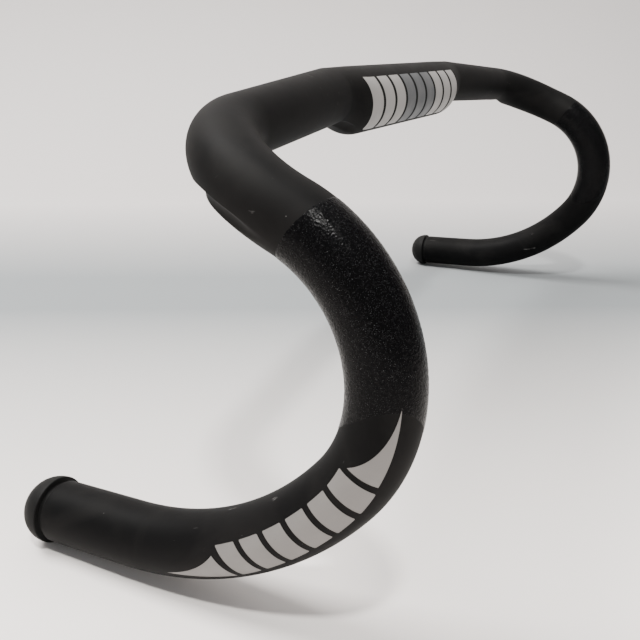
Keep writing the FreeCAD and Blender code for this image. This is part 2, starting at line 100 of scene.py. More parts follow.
PLUG_NECK_LENGTH = 2.2
PLUG_SEAT_GAP = 0.05
PLUG_SPIGOT_RADIUS = 5.2
PLUG_SPIGOT_LENGTH = 4.0
SCREW_HEAD_RADIUS = 3.5
SCREW_HEAD_HEIGHT = 4.0
SCREW_HEAD_RECESS = 0.5
SCREW_RADIUS = 2.0
SCREW_PLAY = 0.2


def ease(fraction):
    k = np.clip(fraction, 0.0, 1.0)
    return k * k * (3.0 - 2.0 * k)


def unit(vector):
    return vector / np.linalg.norm(vector)


def turned(vector, axis, radians):
    """The vector turned about a unit axis by the right-hand rule."""
    along = axis * (axis @ vector)
    return along + (vector - along) * math.cos(radians) + np.cross(axis, vector) * math.sin(radians)


# ------------------------------------------------------------------ centreline

X_AXIS = np.array([1.0, 0.0, 0.0])
Y_AXIS = np.array([0.0, 1.0, 0.0])
Z_AXIS = np.array([0.0, 0.0, 1.0])


class Centreline:
    """The right half's centreline, by distance from the middle of the clamp."""

    def __init__(self):
        flare, ramp = math.radians(DROP_FLARE), math.radians(RAMP_FALL)
        down = np.array([math.sin(flare), 0.0, -math.cos(flare)])
        self.rise = CLAMP_RADIUS - TOPS_ROOT_RADIUS - TAPER_RELIEF
        self.tops_dir = unit(np.array([1.0, math.tan(math.radians(TOPS_SWEEP)),
                                       -math.tan(math.radians(TOPS_FALL))]))
        self.ramp_dir = Y_AXIS * math.cos(ramp) + down * math.sin(ramp)
        self.tops_start = CLAMP_HALF + TAPER_LENGTH
        self.tops_origin = np.array([self.tops_start, 0.0, self.rise])

        self.bend_start = self.tops_start + TOPS_LENGTH
        self.bend_axis = unit(np.cross(self.tops_dir, self.ramp_dir))
        self.bend_turn = math.acos(self.tops_dir @ self.ramp_dir)
        self.bend_origin = self.tops_origin + self.tops_dir * TOPS_LENGTH
        self.bend_centre = self.bend_origin + np.cross(self.bend_axis, self.tops_dir) * BEND_RADIUS

        self.hook_start = self.bend_start + BEND_RADIUS * self.bend_turn
        self.hook_axis = np.cross(Y_AXIS, down)
        self.hook_origin = self.arc(self.bend_centre, self.bend_origin, self.tops_dir,
                                    self.bend_axis, self.bend_turn)[0]
        self.hook_centre = self.hook_origin + np.cross(self.hook_axis, self.ramp_dir) * HOOK_RADIUS
        self.joint = self.hook_start + HOOK_RADIUS * math.radians(JOINT_TURN)

        self.lower_start = self.hook_start + HOOK_RADIUS * math.radians(HOOK_TURN)
        self.lower_origin, self.lower_dir = self.on_hook(math.radians(HOOK_TURN))
        towards_centre = np.cross(self.hook_axis, self.lower_dir)
        self.lower_centre = self.lower_origin + towards_centre * LOWER_RADIUS
        self.lower_turn = math.radians(180.0 - RAMP_FALL - HOOK_TURN - EXTENSION_FALL)
        self.tail_start = self.lower_start + LOWER_RADIUS * self.lower_turn
        self.tail_origin, self.tail_dir = self.on_lower(self.lower_turn)
        self.end = self.tail_start + EXTENSION_LENGTH

    @staticmethod
    def arc(centre, origin, heading, axis, radians):
        return centre + turned(origin - centre, axis, radians), turned(heading, axis, radians)

    def on_hook(self, radians):
        return self.arc(self.hook_centre, self.hook_origin, self.ramp_dir, self.hook_axis, radians)

    def on_lower(self, radians):
        return self.arc(self.lower_centre, self.lower_origin, self.lower_dir, self.hook_axis,
                        radians)

    def at(self, station):
        """Point and heading at a distance along the centreline."""
        if station < self.tops_start:
            blend = ease((station - CLAMP_HALF) / TAPER_LENGTH)
            heading = unit(X_AXIS * (1.0 - blend) + self.tops_dir * blend)
            return np.array([station, 0.0, self.rise * blend]), heading
        if station < self.bend_start:
            return self.tops_origin + self.tops_dir * (station - self.tops_start), self.tops_dir
        if station < self.hook_start:
            return self.arc(self.bend_centre, self.bend_origin, self.tops_dir, self.bend_axis,
                            (station - self.bend_start) / BEND_RADIUS)
        if station < self.lower_start:
            return self.on_hook((station - self.hook_start) / HOOK_RADIUS)
        if station < self.tail_start:
            return self.on_lower((station - self.lower_start) / LOWER_RADIUS)
        return self.tail_origin + self.tail_dir * (station - self.tail_start), self.tail_dir

    def radius(self, station):
        if station < self.tops_start:
            blend = ease((station - CLAMP_HALF) / TAPER_LENGTH)
            return CLAMP_RADIUS + (TOPS_ROOT_RADIUS - CLAMP_RADIUS) * blend
        if station < self.bend_start:
            blend = (station - self.tops_start) / TOPS_LENGTH
            return TOPS_ROOT_RADIUS + (TOPS_END_RADIUS - TOPS_ROOT_RADIUS) * blend
        if station < self.hook_start:
            blend = (station - self.bend_start) / (self.hook_start - self.bend_start)
            swell = BEND_SWELL * math.sin(math.pi * blend) ** 2
            return TOPS_END_RADIUS + (GRIP_RADIUS - TOPS_END_RADIUS) * blend + swell
        return GRIP_RADIUS

    def bar_axes(self, station):
        """On the centre section: out of the bar's U (back, then outboard), and below that."""
        heading = self.at(station)[1]
        outward = unit(np.cross(heading, Z_AXIS))
        return outward, np.cross(heading, outward)

    def drop_axes(self, station):
        """On the drop: away from the bike, and towards the inside of the hook."""
        heading = self.at(station)[1]
        return -self.hook_axis, np.cross(self.hook_axis, heading)


line = Centreline()


# ---------------------------------------------------------------- the groove

GROOVE_START = CLAMP_HALF + GROOVE_CLAMP_GAP
GROOVE_END = line.hook_start + GROOVE_HOOK_REACH
LIP_ROUND = 0.5


def groove_angle(station):
    """Where the groove lies round the section: 0 outside, 90 underneath, 180 inside."""
    if station < line.bend_start:
        swing = ease((station - CLAMP_HALF - GROOVE_SWING_GAP) / GROOVE_TOPS_SWING)
        return GROOVE_BY_CLAMP + (GROOVE_UNDER_TOPS - GROOVE_BY_CLAMP) * swing
    swing = ease((station - line.bend_start) / GROOVE_BEND_SWING)
    return GROOVE_UNDER_TOPS + (GROOVE_ON_RAMP - GROOVE_UNDER_TOPS) * swing


def groove_depth(station):
    start = ease((station - GROOVE_START) / GROOVE_RUN_IN)
    finish = ease((GROOVE_END - station) / GROOVE_RUN_OUT)
    return (GROOVE_DEPTH + GROOVE_TOOL_LIFT) * min(start, finish) - GROOVE_TOOL_LIFT


def grooved_radius(station, from_groove):
    """Radius at an angle from the middle of the groove, its lips softly rounded."""
    radius = line.radius(station)
    reach = radius + GROOVE_TOOL_RADIUS - groove_depth(station)
    aside = reach * math.sin(math.radians(from_groove))
    if abs(from_groove) > 90.0 or abs(aside) >= GROOVE_TOOL_RADIUS:
        return radius
    across = reach * math.cos(math.radians(from_groove))
    floor = across - math.sqrt(GROOVE_TOOL_RADIUS ** 2 - aside ** 2)
    meeting = max(LIP_ROUND - abs(radius - floor), 0.0) / LIP_ROUND
    return min(radius, floor) - meeting * meeting * LIP_ROUND / 4.0


def centre_surface(station, angle, lift=0.0):
    """A point on the centre section's skin, the angle counted as the groove's is."""
    point = line.at(station)[0]
    outward, below = line.bar_axes(station)
    turn = math.radians(angle)
    away = outward * math.cos(turn) + below * math.sin(turn)
    from_groove = (angle - groove_angle(station) + 180.0) % 360.0 - 180.0
    return point + away * (grooved_radius(station, from_groove) + lift)


def drop_surface(station, angle, lift=0.0):
    """A point on the drop's skin: angle 0 faces away from the bike, 90 into the hook."""
    point = line.at(station)[0]
    outboard, into_hook = line.drop_axes(station)
    turn = math.radians(angle)
    return point + (outboard * math.cos(turn) + into_hook * math.sin(turn)) * (GRIP_RADIUS + lift)


# --------------------------------------------------------------- mesh helpers

SHARP_ANGLE = 38.0
FILM_SHARP_ANGLE = 50.0


def add_object(name, data):
    item = bpy.data.objects.new(name, data)
    bpy.context.scene.collection.objects.link(item)
    return item


def new_piece(name, vertices, faces, *materials, sharp_angle=SHARP_ANGLE):
    """A smooth-shaded piece from vertices in millimetres, its normals turned outward."""
    mesh = bpy.data.meshes.new(name)
    mesh.from_pydata((np.asarray(vertices) * MM).tolist(), [], faces)
    work = bmesh.new()
    work.from_mesh(mesh)
    bmesh.ops.recalc_face_normals(work, faces=work.faces)
    work.to_mesh(mesh)
    work.free()
    mesh.shade_smooth()
    mesh.set_sharp_from_angle(angle=math.radians(sharp_angle))
    for material in materials:
        mesh.materials.append(material)
    return add_object(name, mesh)


def ring_faces(rings, around):
    """Quads between rings of equal count, the last ring joined to the first."""
    faces = []
    for i in range(rings):
        here, there = i * around, (i + 1) % rings * around
        for j in range(around):
            k = (j + 1) % around
            faces.append((here + j, here + k, there + k, there + j))
    return faces


def mirrored(points, side):
    return points * np.array([side, 1.0, 1.0])


def spaced(first, last, step):
    """Even steps from first to last, as near to the wanted step as they divide."""
    count = max(2, round(abs(last - first) / step) + 1)
    return list(np.linspace(first, last, count))


def corner_steps(radius, turns):
    """Inset and advance for the quarter-round edge of a tube's end, from its outside."""
    angles = [math.radians(90.0 * i / turns) for i in range(turns + 1)]
    return [(radius * (1.0 - math.cos(a)), radius * math.sin(a)) for a in angles]


# ---------------------------------------------------------------- materials

def new_material(name, colour, roughness, metallic=0.0, specular=0.5):
    material = bpy.data.materials.new(name)
    material.use_nodes = True
    shader = material.node_tree.nodes["Principled BSDF"]
    shader.inputs["Base Color"].default_value = (*colour, 1.0)
    shader.inputs["Roughness"].default_value = roughness
    shader.inputs["Metallic"].default_value = metallic
    shader.inputs["Specular IOR Level"].default_value = specular
    return material, shader


class Nodes:
    """Short ways to add and join the nodes of one material."""

    def __init__(self, material):
        self.tree = material.node_tree
        self.place = self.tree.nodes.new("ShaderNodeTexCoord").outputs["Object"]

    def put(self, value, socket):
        """Another node's output is linked to the socket, a plain value is written into it."""
        if isinstance(value, bpy.types.NodeSocket):
            self.tree.links.new(value, socket)
        else:
            socket.default_value = value

    def add(self, kind, **inputs):
        node = self.tree.nodes.new(kind)
        for name, value in inputs.items():
            self.put(value, node.inputs[name])
        return node

    def noise(self, scale, detail=2.0, roughness=0.5, distortion=0.0, place=None):
        node = self.add("ShaderNodeTexNoise", Vector=place or self.place, Scale=scale,
                        Detail=detail, Roughness=roughness, Distortion=distortion)
        return node.outputs["Fac"]

    def cells(self, scale):
        """Distance to the nearest of many scattered points."""
        node = self.add("ShaderNodeTexVoronoi", Vector=self.place, Scale=scale)
        return node.outputs["Distance"]

    def ramp(self, value, low, high, to_low=0.0, to_high=1.0):
        node = self.add("ShaderNodeMapRange", Value=value)
        node.inputs["From Min"].default_value = low
        node.inputs["From Max"].default_value = high
        node.inputs["To Min"].default_value = to_low
        node.inputs["To Max"].default_value = to_high
        return node.outputs["Result"]

    def math(self, operation, first, second):
        node = self.tree.nodes.new("ShaderNodeMath")
        node.operation = operation
        for socket, value in zip(node.inputs, (first, second)):
            self.put(value, socket)
        return node.outputs["Value"]

    def mix(self, share, first, second):
        node = self.tree.nodes.new("ShaderNodeMix")
        node.data_type = "RGBA"
        for name, value in (("Factor_Float", share), ("A_Color", first), ("B_Color", second)):
            socket = next(s for s in node.inputs if s.identifier == name)
            self.put((*value, 1.0) if isinstance(value, tuple) else value, socket)
        return next(s for s in node.outputs if s.identifier == "Result_Color")

    def stretched(self, x, y, z):
        node = self.add("ShaderNodeMapping", Vector=self.place)
        node.inputs["Scale"].default_value = (x, y, z)
        return node.outputs["Vector"]

    def bump(self, height, strength, depth, normal=None):
        node = self.add("ShaderNodeBump", Height=height, Strength=strength, Distance=depth)
        if normal:
            self.tree.links.new(normal, node.inputs["Normal"])
        return node.outputs["Normal"]

    def into(self, shader, name, value):
        self.tree.links.new(value, shader.inputs[name])


def satin_carbon():
    """Satin clear coat over black carbon: soft smudges, dust specks and hair scratches."""
    material, shader = new_material("satin_carbon", (0.006, 0.006, 0.0061), 0.58, specular=0.045)
    n = Nodes(material)
    smudge = n.noise(26.0, detail=4.0, roughness=0.6, distortion=0.8)
    smudged = n.ramp(smudge, 0.42, 0.72)
    clean, handled = (0.0034, 0.0034, 0.0035), (0.0094, 0.0090, 0.0087)
    colour = n.mix(smudged, clean, handled)

    dust_strength, scratch_strength, dust_colour = 0.30, 0.24, (0.33, 0.32, 0.31)
    near = n.ramp(n.cells(130.0), 0.012, 0.024, 1.0, 0.0)
    picked = n.ramp(n.noise(60.0, detail=0.0), 0.46, 0.54)
    dust = n.math("MULTIPLY", near, picked)
    streaks = n.noise(1.0, detail=3.0, place=n.stretched(900.0, 55.0, 260.0))
    patch = n.ramp(n.noise(14.0, detail=1.0), 0.50, 0.60)
    scratch = n.math("MULTIPLY", n.ramp(streaks, 0.70, 0.76), patch)
    marks = n.math("MAXIMUM", n.math("MULTIPLY", dust, dust_strength),
                   n.math("MULTIPLY", scratch, scratch_strength))
    n.into(shader, "Base Color", n.mix(marks, colour, dust_colour))

    rough = n.ramp(smudge, 0.30, 0.75, 0.52, 0.64)
    mark_roughness = 0.4
    n.into(shader, "Roughness", n.math("ADD", rough, n.math("MULTIPLY", marks, mark_roughness)))
    grain = n.bump(n.noise(2600.0, detail=2.0), 0.10, 0.00006)
    n.into(shader, "Normal", n.bump(n.noise(210.0, detail=1.0), 0.06, 0.0004, grain))
    return material


def grit():
    """Glossy black lacquer over coarse grit, with painted glints: light specks painted into the
    colour of some grains.
    """
    material, shader = new_material("grit_band", (0.003, 0.003, 0.0032), 0.20, specular=0.045)
    n = Nodes(material)
    # painted glints: scattered light specks in the base colour stand in for grains catching the
    # lamp
    painted_glint_mask = n.ramp(n.noise(6000.0, detail=0.0), 0.74, 0.83)
    lacquer, painted_glint = (0.0020, 0.0020, 0.0022), (0.10, 0.10, 0.102)
    n.into(shader, "Base Color", n.mix(painted_glint_mask, lacquer, painted_glint))
    n.into(shader, "Roughness", n.ramp(n.noise(900.0, detail=1.0), 0.35, 0.65, 0.14, 0.30))
    n.into(shader, "Normal", n.bump(n.cells(2300.0), 0.30, 0.00012))
    return material


def film(name, colour):
    """Printed film under the satin coat, with a fine metallic flake and worn pinholes."""
    material, shader = new_material(name, colour, 0.42, metallic=0.25, specular=0.4)
    n = Nodes(material)
    darker = tuple(c * 0.86 for c in colour)
    lighter = tuple(min(1.0, c * 1.3) for c in colour)
    coat_below = (0.03, 0.03, 0.03)
    shade = n.mix(n.noise(35.0, detail=2.0), darker, colour)
    flake = n.ramp(n.noise(5200.0, detail=0.0), 0.62, 0.75)
    shade = n.mix(n.math("MULTIPLY", flake, 0.22), shade, lighter)
    pinholes = n.ramp(n.cells(210.0), 0.018, 0.030, 0.55, 0.0)
    n.into(shader, "Base Color", n.mix(pinholes, shade, coat_below))
    n.into(shader, "Roughness", n.ramp(n.noise(120.0, detail=3.0), 0.3, 0.7, 0.36, 0.5))
    n.into(shader, "Normal", n.bump(n.noise(1500.0, detail=2.0), 0.12, 0.00005))
    return material


def raw_carbon():
    """Unpainted laminate inside the tubes: a twill from their own UV map, in millimetres."""
    material, shader = new_material("raw_carbon", (0.02, 0.02, 0.021), 0.38)
    n = Nodes(material)
    uv = n.tree.nodes.new("ShaderNodeUVMap")
    uv.uv_map = "along_and_around"
    split = n.add("ShaderNodeSeparateXYZ", Vector=uv.outputs["UV"])
    tow, repeat, over_tows, keeps_positive = 2.0, 4.0, 1.5, 4000.0
    along = n.math("DIVIDE", split.outputs["X"], tow)
    around = n.math("DIVIDE", split.outputs["Y"], tow)
    step = n.math("ADD", n.math("FLOOR", along, 0.0), n.math("FLOOR", around, 0.0))
    place_in_repeat = n.math("MODULO", n.math("ADD", step, keeps_positive), repeat)
    over = n.math("LESS_THAN", place_in_repeat, over_tows)
    n.into(shader, "Base Color", n.mix(over, (0.012, 0.012, 0.013), (0.04, 0.04, 0.042)))
    n.into(shader, "Roughness", n.ramp(over, 0.0, 1.0, 0.50, 0.30))
    resin = n.noise(700.0, detail=3.0)
    n.into(shader, "Normal", n.bump(n.math("ADD", over, resin), 0.25, 0.0002))
    return material


def moulded_plastic():
    """Matte black nylon with a fine spark-eroded texture and a little handling shine."""
    material, shader = new_material("plug_plastic", (0.007, 0.007, 0.007), 0.6, specular=0.08)
    n = Nodes(material)
    worn = n.noise(90.0, detail=3.0, roughness=0.6)
    n.into(shader, "Base Color", n.mix(worn, (0.005, 0.005, 0.005), (0.009, 0.009, 0.0088)))
    n.into(shader, "Roughness", n.ramp(worn, 0.3, 0.7, 0.52, 0.68))
    texture = n.noise(1900.0, detail=2.0, roughness=0.7)
    n.into(shader, "Normal", n.bump(texture, 0.35, 0.00012))
    return material


def rubber():
    """Matte rubber with a pale bloom in patches."""
    material, shader = new_material("plug_rubber", (0.018, 0.018, 0.018), 0.78, specular=0.3)
    n = Nodes(material)
    bloom = n.ramp(n.noise(140.0, detail=4.0, roughness=0.65), 0.4, 0.75)
    n.into(shader, "Base Color", n.mix(bloom, (0.014, 0.014, 0.014), (0.045, 0.044, 0.043)))
    n.into(shader, "Roughness", n.ramp(bloom, 0.0, 1.0, 0.70, 0.88))
    n.into(shader, "Normal", n.bump(n.noise(2400.0, detail=2.0), 0.3, 0.0001))
    return material


def turned_metal(name, colour, roughness):
    """Bare or blackened metal with turning marks across the plug's axis and light wear."""
    material, shader = new_material(name, colour, roughness, metallic=1.0)
    n = Nodes(material)
    marks = n.noise(1.0, detail=2.0, place=n.stretched(60.0, 5200.0, 60.0))
    stain = n.noise(330.0, detail=3.0, roughness=0.65)
    duller = tuple(c * 0.7 for c in colour)
    n.into(shader, "Base Color", n.mix(n.ramp(stain, 0.35, 0.7), duller, colour))
    n.into(shader, "Roughness", n.ramp(marks, 0.2, 0.8, roughness - 0.08, roughness + 0.12))
    n.into(shader, "Normal", n.bump(marks, 0.3, 0.00004))
    return material


SATIN = satin_carbon()
GRIT = grit()
LIGHT_FILM = film("light_graphic", (0.325, 0.314, 0.303))
# painted shade: the same silver film as on the clamp, given a darker colour on the drops to stand
# in for how they are lit
SHADED_DROP_FILM = film("light_graphic_painted_darker_on_drop", (0.170, 0.163, 0.156))
GREY_FILM = film("grey_graphic", (0.088, 0.094, 0.099))
RAW_CARBON = raw_carbon()
PLASTIC = moulded_plastic()
RUBBER = rubber()
ALUMINIUM = turned_metal("plug_metal", (0.62, 0.62, 0.63), 0.32)
BLACK_STEEL = turned_metal("screw_steel", (0.06, 0.06, 0.065), 0.36)


# --------------------------------------------------------- skins of the bar

LIP_SPAN = 26.0
ROUND_EDGE = 0.35
EDGE_TURNS = 4

# distance between one ring and the next, closer together where the shape changes faster
CLAMP_STEP = 4.0
TAPER_STEP = 0.9
TOPS_STEP = 2.2
BEND_STEP = 1.2
BORE_STEP = 5.0
DROP_STEP = 1.3
DROP_BORE_STEP = 3.0


def section_angles():
    """Angles from the groove's middle, close together across the groove and its lips."""
    fine, coarse = 1.0, 3.4
    return spaced(-LIP_SPAN, LIP_SPAN, fine) + spaced(LIP_SPAN, 360.0 - LIP_SPAN, coarse)[1:-1]


def tube_object(name, rings, stations, inner_from, radius):
    """A closed tube from its rings, the inside ones last and in raw carbon."""
    rings = np.array(rings)
    count, around = rings.shape[:2]
    piece = new_piece(name, rings.reshape(-1, 3), ring_faces(count, around), SATIN, RAW_CARBON)
    mesh = piece.data
    layer = mesh.uv_layers.new(name="along_and_around")
    girth = 2.0 * math.pi * radius
    for face in mesh.polygons:
        ring_numbers = [v // around for v in face.vertices]
        if min(ring_numbers) >= inner_from:
            face.material_index = 1
        slots = [v % around for v in face.vertices]
        wraps = max(slots) - min(slots) > around / 2
        for corner, ring, slot in zip(face.loop_indices, ring_numbers, slots):
            turn = slot + around if wraps and slot < around / 2 else slot
            layer.data[corner].uv = (stations[ring], girth * turn / around)
    return piece


def make_centre_skin():
    angles = section_angles()

    def outer(station):
        middle = groove_angle(station)
        return np.array([centre_surface(station, middle + a) for a in angles])

    def inner(station):
        point = line.at(station)[0]
        outward, below = line.bar_axes(station)
        reach = line.radius(station) - WALL
        turns = [math.radians(groove_angle(station) + a) for a in angles]
        return np.array([point + (outward * math.cos(t) + below * math.sin(t)) * reach
                         for t in turns])

    marks = spaced(0.0, CLAMP_HALF, CLAMP_STEP)
    marks += spaced(CLAMP_HALF, line.tops_start, TAPER_STEP)[1:]
    marks += spaced(line.tops_start, line.bend_start, TOPS_STEP)[1:]
    marks += spaced(line.bend_start, line.joint, BEND_STEP)[1:]
    bore_marks = spaced(line.joint, 0.0, BORE_STEP)

    both = [(-s, mirrored(outer(s), -1.0)) for s in reversed(marks[1:])]
    both += [(s, outer(s)) for s in marks]
    inside = [(s, inner(s)) for s in bore_marks]
    inside += [(-s, mirrored(ring, -1.0)) for s, ring in reversed(inside[:-1])]
    rings = [ring for _, ring in both + inside]
    stations = [s for s, _ in both + inside]
    skin = tube_object("centre_section_skin", rings, stations, len(both), TOPS_END_RADIUS)
    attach(skin, "bar")
    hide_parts("centre_section")


def make_drop_skin(side, sign):
    around = 128
    turns = [360.0 * j / around for j in range(around)]
    edge = corner_steps(ROUND_EDGE, EDGE_TURNS)
    edge_start = line.end - ROUND_EDGE

    def ring(station, inset=0.0):
        return np.array([drop_surface(station, t, -inset) for t in turns])

    outside = [(s, ring(s)) for s in spaced(line.joint, edge_start, DROP_STEP)]
    outside += [(edge_start + advance, ring(edge_start + advance, inset))
                for inset, advance in edge[1:]]
    mouth = [(edge_start + advance, ring(edge_start + advance, WALL - inset))
             for inset, advance in reversed(edge)]
    bore_marks = spaced(line.end - DROP_BORE_STEP, line.joint, DROP_BORE_STEP)
    bore = [(s, ring(s, WALL)) for s in bore_marks]
    rings = [mirrored(r, sign) for _, r in outside + mouth + bore]
    stations = [s for s, _ in outside + mouth + bore]
    inner_from = len(outside) + len(edge) - 1
    skin = tube_object(f"{side}_drop_skin", rings, stations, inner_from, GRIP_RADIUS)
    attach(skin, "bar")
    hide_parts(f"{side}_drop")


def hook_surface(stations, angles, lifts):
    """The drop's skin for arrays of points, all of them on the hook."""
    turns = ((stations - line.hook_start) / HOOK_RADIUS)[..., None]
    around = np.radians(angles)
    arm = line.hook_origin - line.hook_centre
    arm = arm * np.cos(turns) + np.cross(line.hook_axis, arm) * np.sin(turns)
    reach = GRIP_RADIUS + lifts
    inward = (1.0 - reach * np.sin(around) / HOOK_RADIUS)[..., None]
    outboard = (reach * np.cos(around))[..., None]
    return line.hook_centre + arm * inward - line.hook_axis * outboard


# ---------------------------------------------------- gritty lever clamp bands

BAND_START = 247.1
BAND_START_SLANT = 1.6
BAND_START_TURN = 110.0
BAND_END = 315.2
BAND_END_SLANT = 12.2
BAND_END_TURN = 32.0
BAND_BASE = 0.03
BAND_SINK = 0.08
BAND_UNDERSIDE = 3.0 * BAND_SINK
BAND_FADE = 0.9
GRAIN_PITCH = 0.56
GRAIN_OFFSET = (0.05, 0.95)
GRAIN_RADIUS = (0.30, 0.52)
GRAIN_HEIGHT = (0.02, 0.12)
GRAIN_SEED = 4


def band_start(angle):
    return BAND_START + BAND_START_SLANT * math.cos(math.radians(angle + BAND_START_TURN))


def band_end(angle):
    return BAND_END - BAND_END_SLANT * math.cos(math.radians(angle + BAND_END_TURN))


def grain_heights(along, around, girth):
    """Height of domed grains, one in each cell of a jittered grid that closes round the tube."""
    columns = round(girth / GRAIN_PITCH)
    pitch = girth / columns
    first = math.floor(along.min() / pitch) - 2
    rows = math.ceil(along.max() / pitch) + 3 - first
    draw = np.random.default_rng(GRAIN_SEED)
    offset = draw.uniform(*GRAIN_OFFSET, (2, rows, columns))
    radius = draw.uniform(*GRAIN_RADIUS, (rows, columns))
    height = draw.uniform(*GRAIN_HEIGHT, (rows, columns))
    row = np.floor(along / pitch).astype(int) - first
    column = np.floor(around / pitch).astype(int)
    total = np.zeros(along.shape)
    for i in (-1, 0, 1):
        for j in (-1, 0, 1):
            r, c = row + i, (column + j) % columns
            away_along = (r + first + offset[0][r, c]) * pitch - along
            away_around = (column + j + offset[1][r, c]) * pitch - around
            share = 1.0 - (away_along ** 2 + away_around ** 2) / radius[r, c] ** 2
            total = np.maximum(total, height[r, c] * np.clip(share, 0.0, 1.0))
    return total


def make_grit_band(side, sign):
    """A closed sleeve of grains round the hook, its plain underside sunk in the tube's wall."""
    rows, around, underside_step = 264, 328, 12
    girth = 2.0 * math.pi * GRIP_RADIUS
    turns = np.arange(around) * 360.0 / around
    first = np.array([band_start(t) for t in turns])
    last = np.array([band_end(t) for t in turns])
    along = first + (last - first) * np.linspace(0.0, 1.0, rows)[:, None]
    heights = grain_heights(along, np.broadcast_to(turns / 360.0 * girth, along.shape), girth)
    fade = ease(np.minimum(along - first, last - along) / BAND_FADE)
    lifts = (BAND_BASE + BAND_SINK + heights) * fade - BAND_SINK
    outside = hook_surface(along, turns, lifts)
    hidden_rows = list(range(rows - 1, -1, -underside_step)) + [0]
    sunk = np.full((len(hidden_rows), around), -BAND_UNDERSIDE)
    hidden = hook_surface(along[hidden_rows], turns, sunk)
    rings = mirrored(np.concatenate([outside, hidden]), sign)
    faces = ring_faces(len(rings), around)
    band = new_piece(f"{side}_grit_band", rings.reshape(-1, 3), faces, GRIT)
    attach(band, "bar")


# ------------------------------------------------------------------- graphics

FILM_LIFT = 0.07
FILM_SINK = 0.12
FILM_CELL = 1.1
FILM_CORNER = 0.5
CORNER_STEPS = 4
LONG_EDGE_STEPS = 14
SHORT_EDGE_STEPS = 6
EDGE_PER_ROUNDING = 2.5
CUT_DISTANCE = 1e-6


def curve_points(start, pull, end, steps):
    """A smooth edge bowed towards the pull point, from start up to one step before end."""
    shares = [i / steps for i in range(steps)]
    return [tuple((1 - t) ** 2 * a + 2 * t * (1 - t) * b + t * t * c
                  for a, b, c in zip(start, pull, end)) for t in shares]


def rounded(corners, radius):
    """A closed outline with each corner cut round, less on an edge that is short."""
    outline = []
    count = len(corners)
    for i, corner in enumerate(corners):
        here = np.array(corner)
        before = np.array(corners[i - 1]) - here
        after = np.array(corners[(i + 1) % count]) - here
        reach = min(radius, np.linalg.norm(before) / EDGE_PER_ROUNDING,
                    np.linalg.norm(after) / EDGE_PER_ROUNDING)
        start, end = here + unit(before) * reach, here + unit(after) * reach
        outline += curve_points(start, here, end, CORNER_STEPS) + [tuple(end)]
    return outline


def film_piece(name, outline, surface, material):
    """A thin film with this outline in (along, around), laid on a surface and closed below."""
    sheet = bmesh.new()
    sheet.faces.new([sheet.verts.new((u, v, 0.0)) for u, v in outline])
    for axis in (0, 1):
        values = [point[axis] for point in outline]
        normal = Vector((1, 0, 0)) if axis == 0 else Vector((0, 1, 0))
        steps = range(math.ceil(min(values) / FILM_CELL), math.floor(max(values) / FILM_CELL) + 1)
        for step in steps:
            everything = sheet.verts[:] + sheet.edges[:] + sheet.faces[:]
            bmesh.ops.bisect_plane(sheet, geom=everything, dist=CUT_DISTANCE,
                                   plane_co=normal * step * FILM_CELL, plane_no=normal)
    sheet.verts.index_update()
    below = len(sheet.verts)
    faces = []
    for face in sheet.faces:
        top = [vert.index for vert in face.verts]
        faces += [top, [i + below for i in reversed(top)]]
    for edge in sheet.edges:
        if edge.is_boundary:
            a, b = [vert.index for vert in edge.verts]
            faces.append((a, b, b + below, a + below))
    vertices = [surface(vert.co.x, vert.co.y, lift)
                for lift in (FILM_LIFT, -FILM_SINK) for vert in sheet.verts]
    sheet.free()
    piece = new_piece(name, vertices, faces, material, sharp_angle=FILM_SHARP_ANGLE)
    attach(piece, "bar")


def leaning_bar(start, end, low, high, start_lean, end_lean):
    """A bar from its low to its high edge, each end leaning by its own amount."""
    corners = [(start, low), (end, low), (end + end_lean, high), (start + start_lean, high)]
    return rounded(corners, FILM_CORNER)


def on_clamp(along, around, lift):
    """The front of the clamp: x along the bar, and the way up the surface from its middle."""
    front = 180.0
    angle = front + math.degrees(around / CLAMP_RADIUS)
    return mirrored(centre_surface(abs(along), angle, lift), math.copysign(1.0, along))


def make_clamp_graphic():
    """Nine leaning bars on the clamp's front, the middle three grey."""
    low, high, slant = -15.4, 12.2, 5.0
    width, gap, bars = 12.0, 3.1, 9
    grey_bars = range(3, 6)
    first = -(bars * width + (bars - 1) * gap + slant) / 2.0
    for i in range(bars):
        start = first + i * (width + gap)
        outline = leaning_bar(start, start + width, low, high, slant, slant)
        material, slot = LIGHT_FILM, "light_graphic"
        if i in grey_bars:
            material, slot = GREY_FILM, "grey_graphic"
        film_piece(f"clamp_graphic_{i + 1}", outline, on_clamp, material)


def make_drop_graphic(side, sign):
    """Leaning bars down the outboard side of the drop, between two pointed ends."""
    def on_drop(along, around, lift):
        return mirrored(drop_surface(along, math.degrees(around / GRIP_RADIUS), lift), sign)

    low, high = -8.6, 4.8
    first, width, gap, bars = 326.6, 7.7, 2.4, 6
    upright_at, lean_over = 341.0, 10.0

    def lean(along):
        return (along - upright_at) / lean_over

    upper_point, upper_pull = (301.3, -8.9), (315.5, -5.6)
    high_corner, side_pull, low_corner = (323.1, 2.6), (324.0, -2.5), (324.3, -8.1)
    upper = curve_points(upper_point, upper_pull, high_corner, LONG_EDGE_STEPS)
    upper += curve_points(high_corner, side_pull, low_corner, SHORT_EDGE_STEPS) + [low_corner]
    film_piece(f"{side}_drop_graphic_tip_upper", upper, on_drop, SHADED_DROP_FILM)
    for i in range(bars):
        start = first + i * (width + gap)
        end = start + width
        outline = leaning_bar(start, end, low, high, lean(start), lean(end))
        film_piece(f"{side}_drop_graphic_{i + 1}", outline, on_drop, SHADED_DROP_FILM)
    tail, tail_high = first + bars * (width + gap), 1.6
    tail_corner = (tail + lean(tail), tail_high)
    lower_pull, lower_point = (400.0, -3.6), (414.6, -5.6)
    lower = [(tail, low)] + curve_points(tail_corner, lower_pull, lower_point, LONG_EDGE_STEPS)
    lower.append(lower_point)
    film_piece(f"{side}_drop_graphic_tip_lower", lower, on_drop, SHADED_DROP_FILM)


# ------------------------------------------------------------------ end plugs

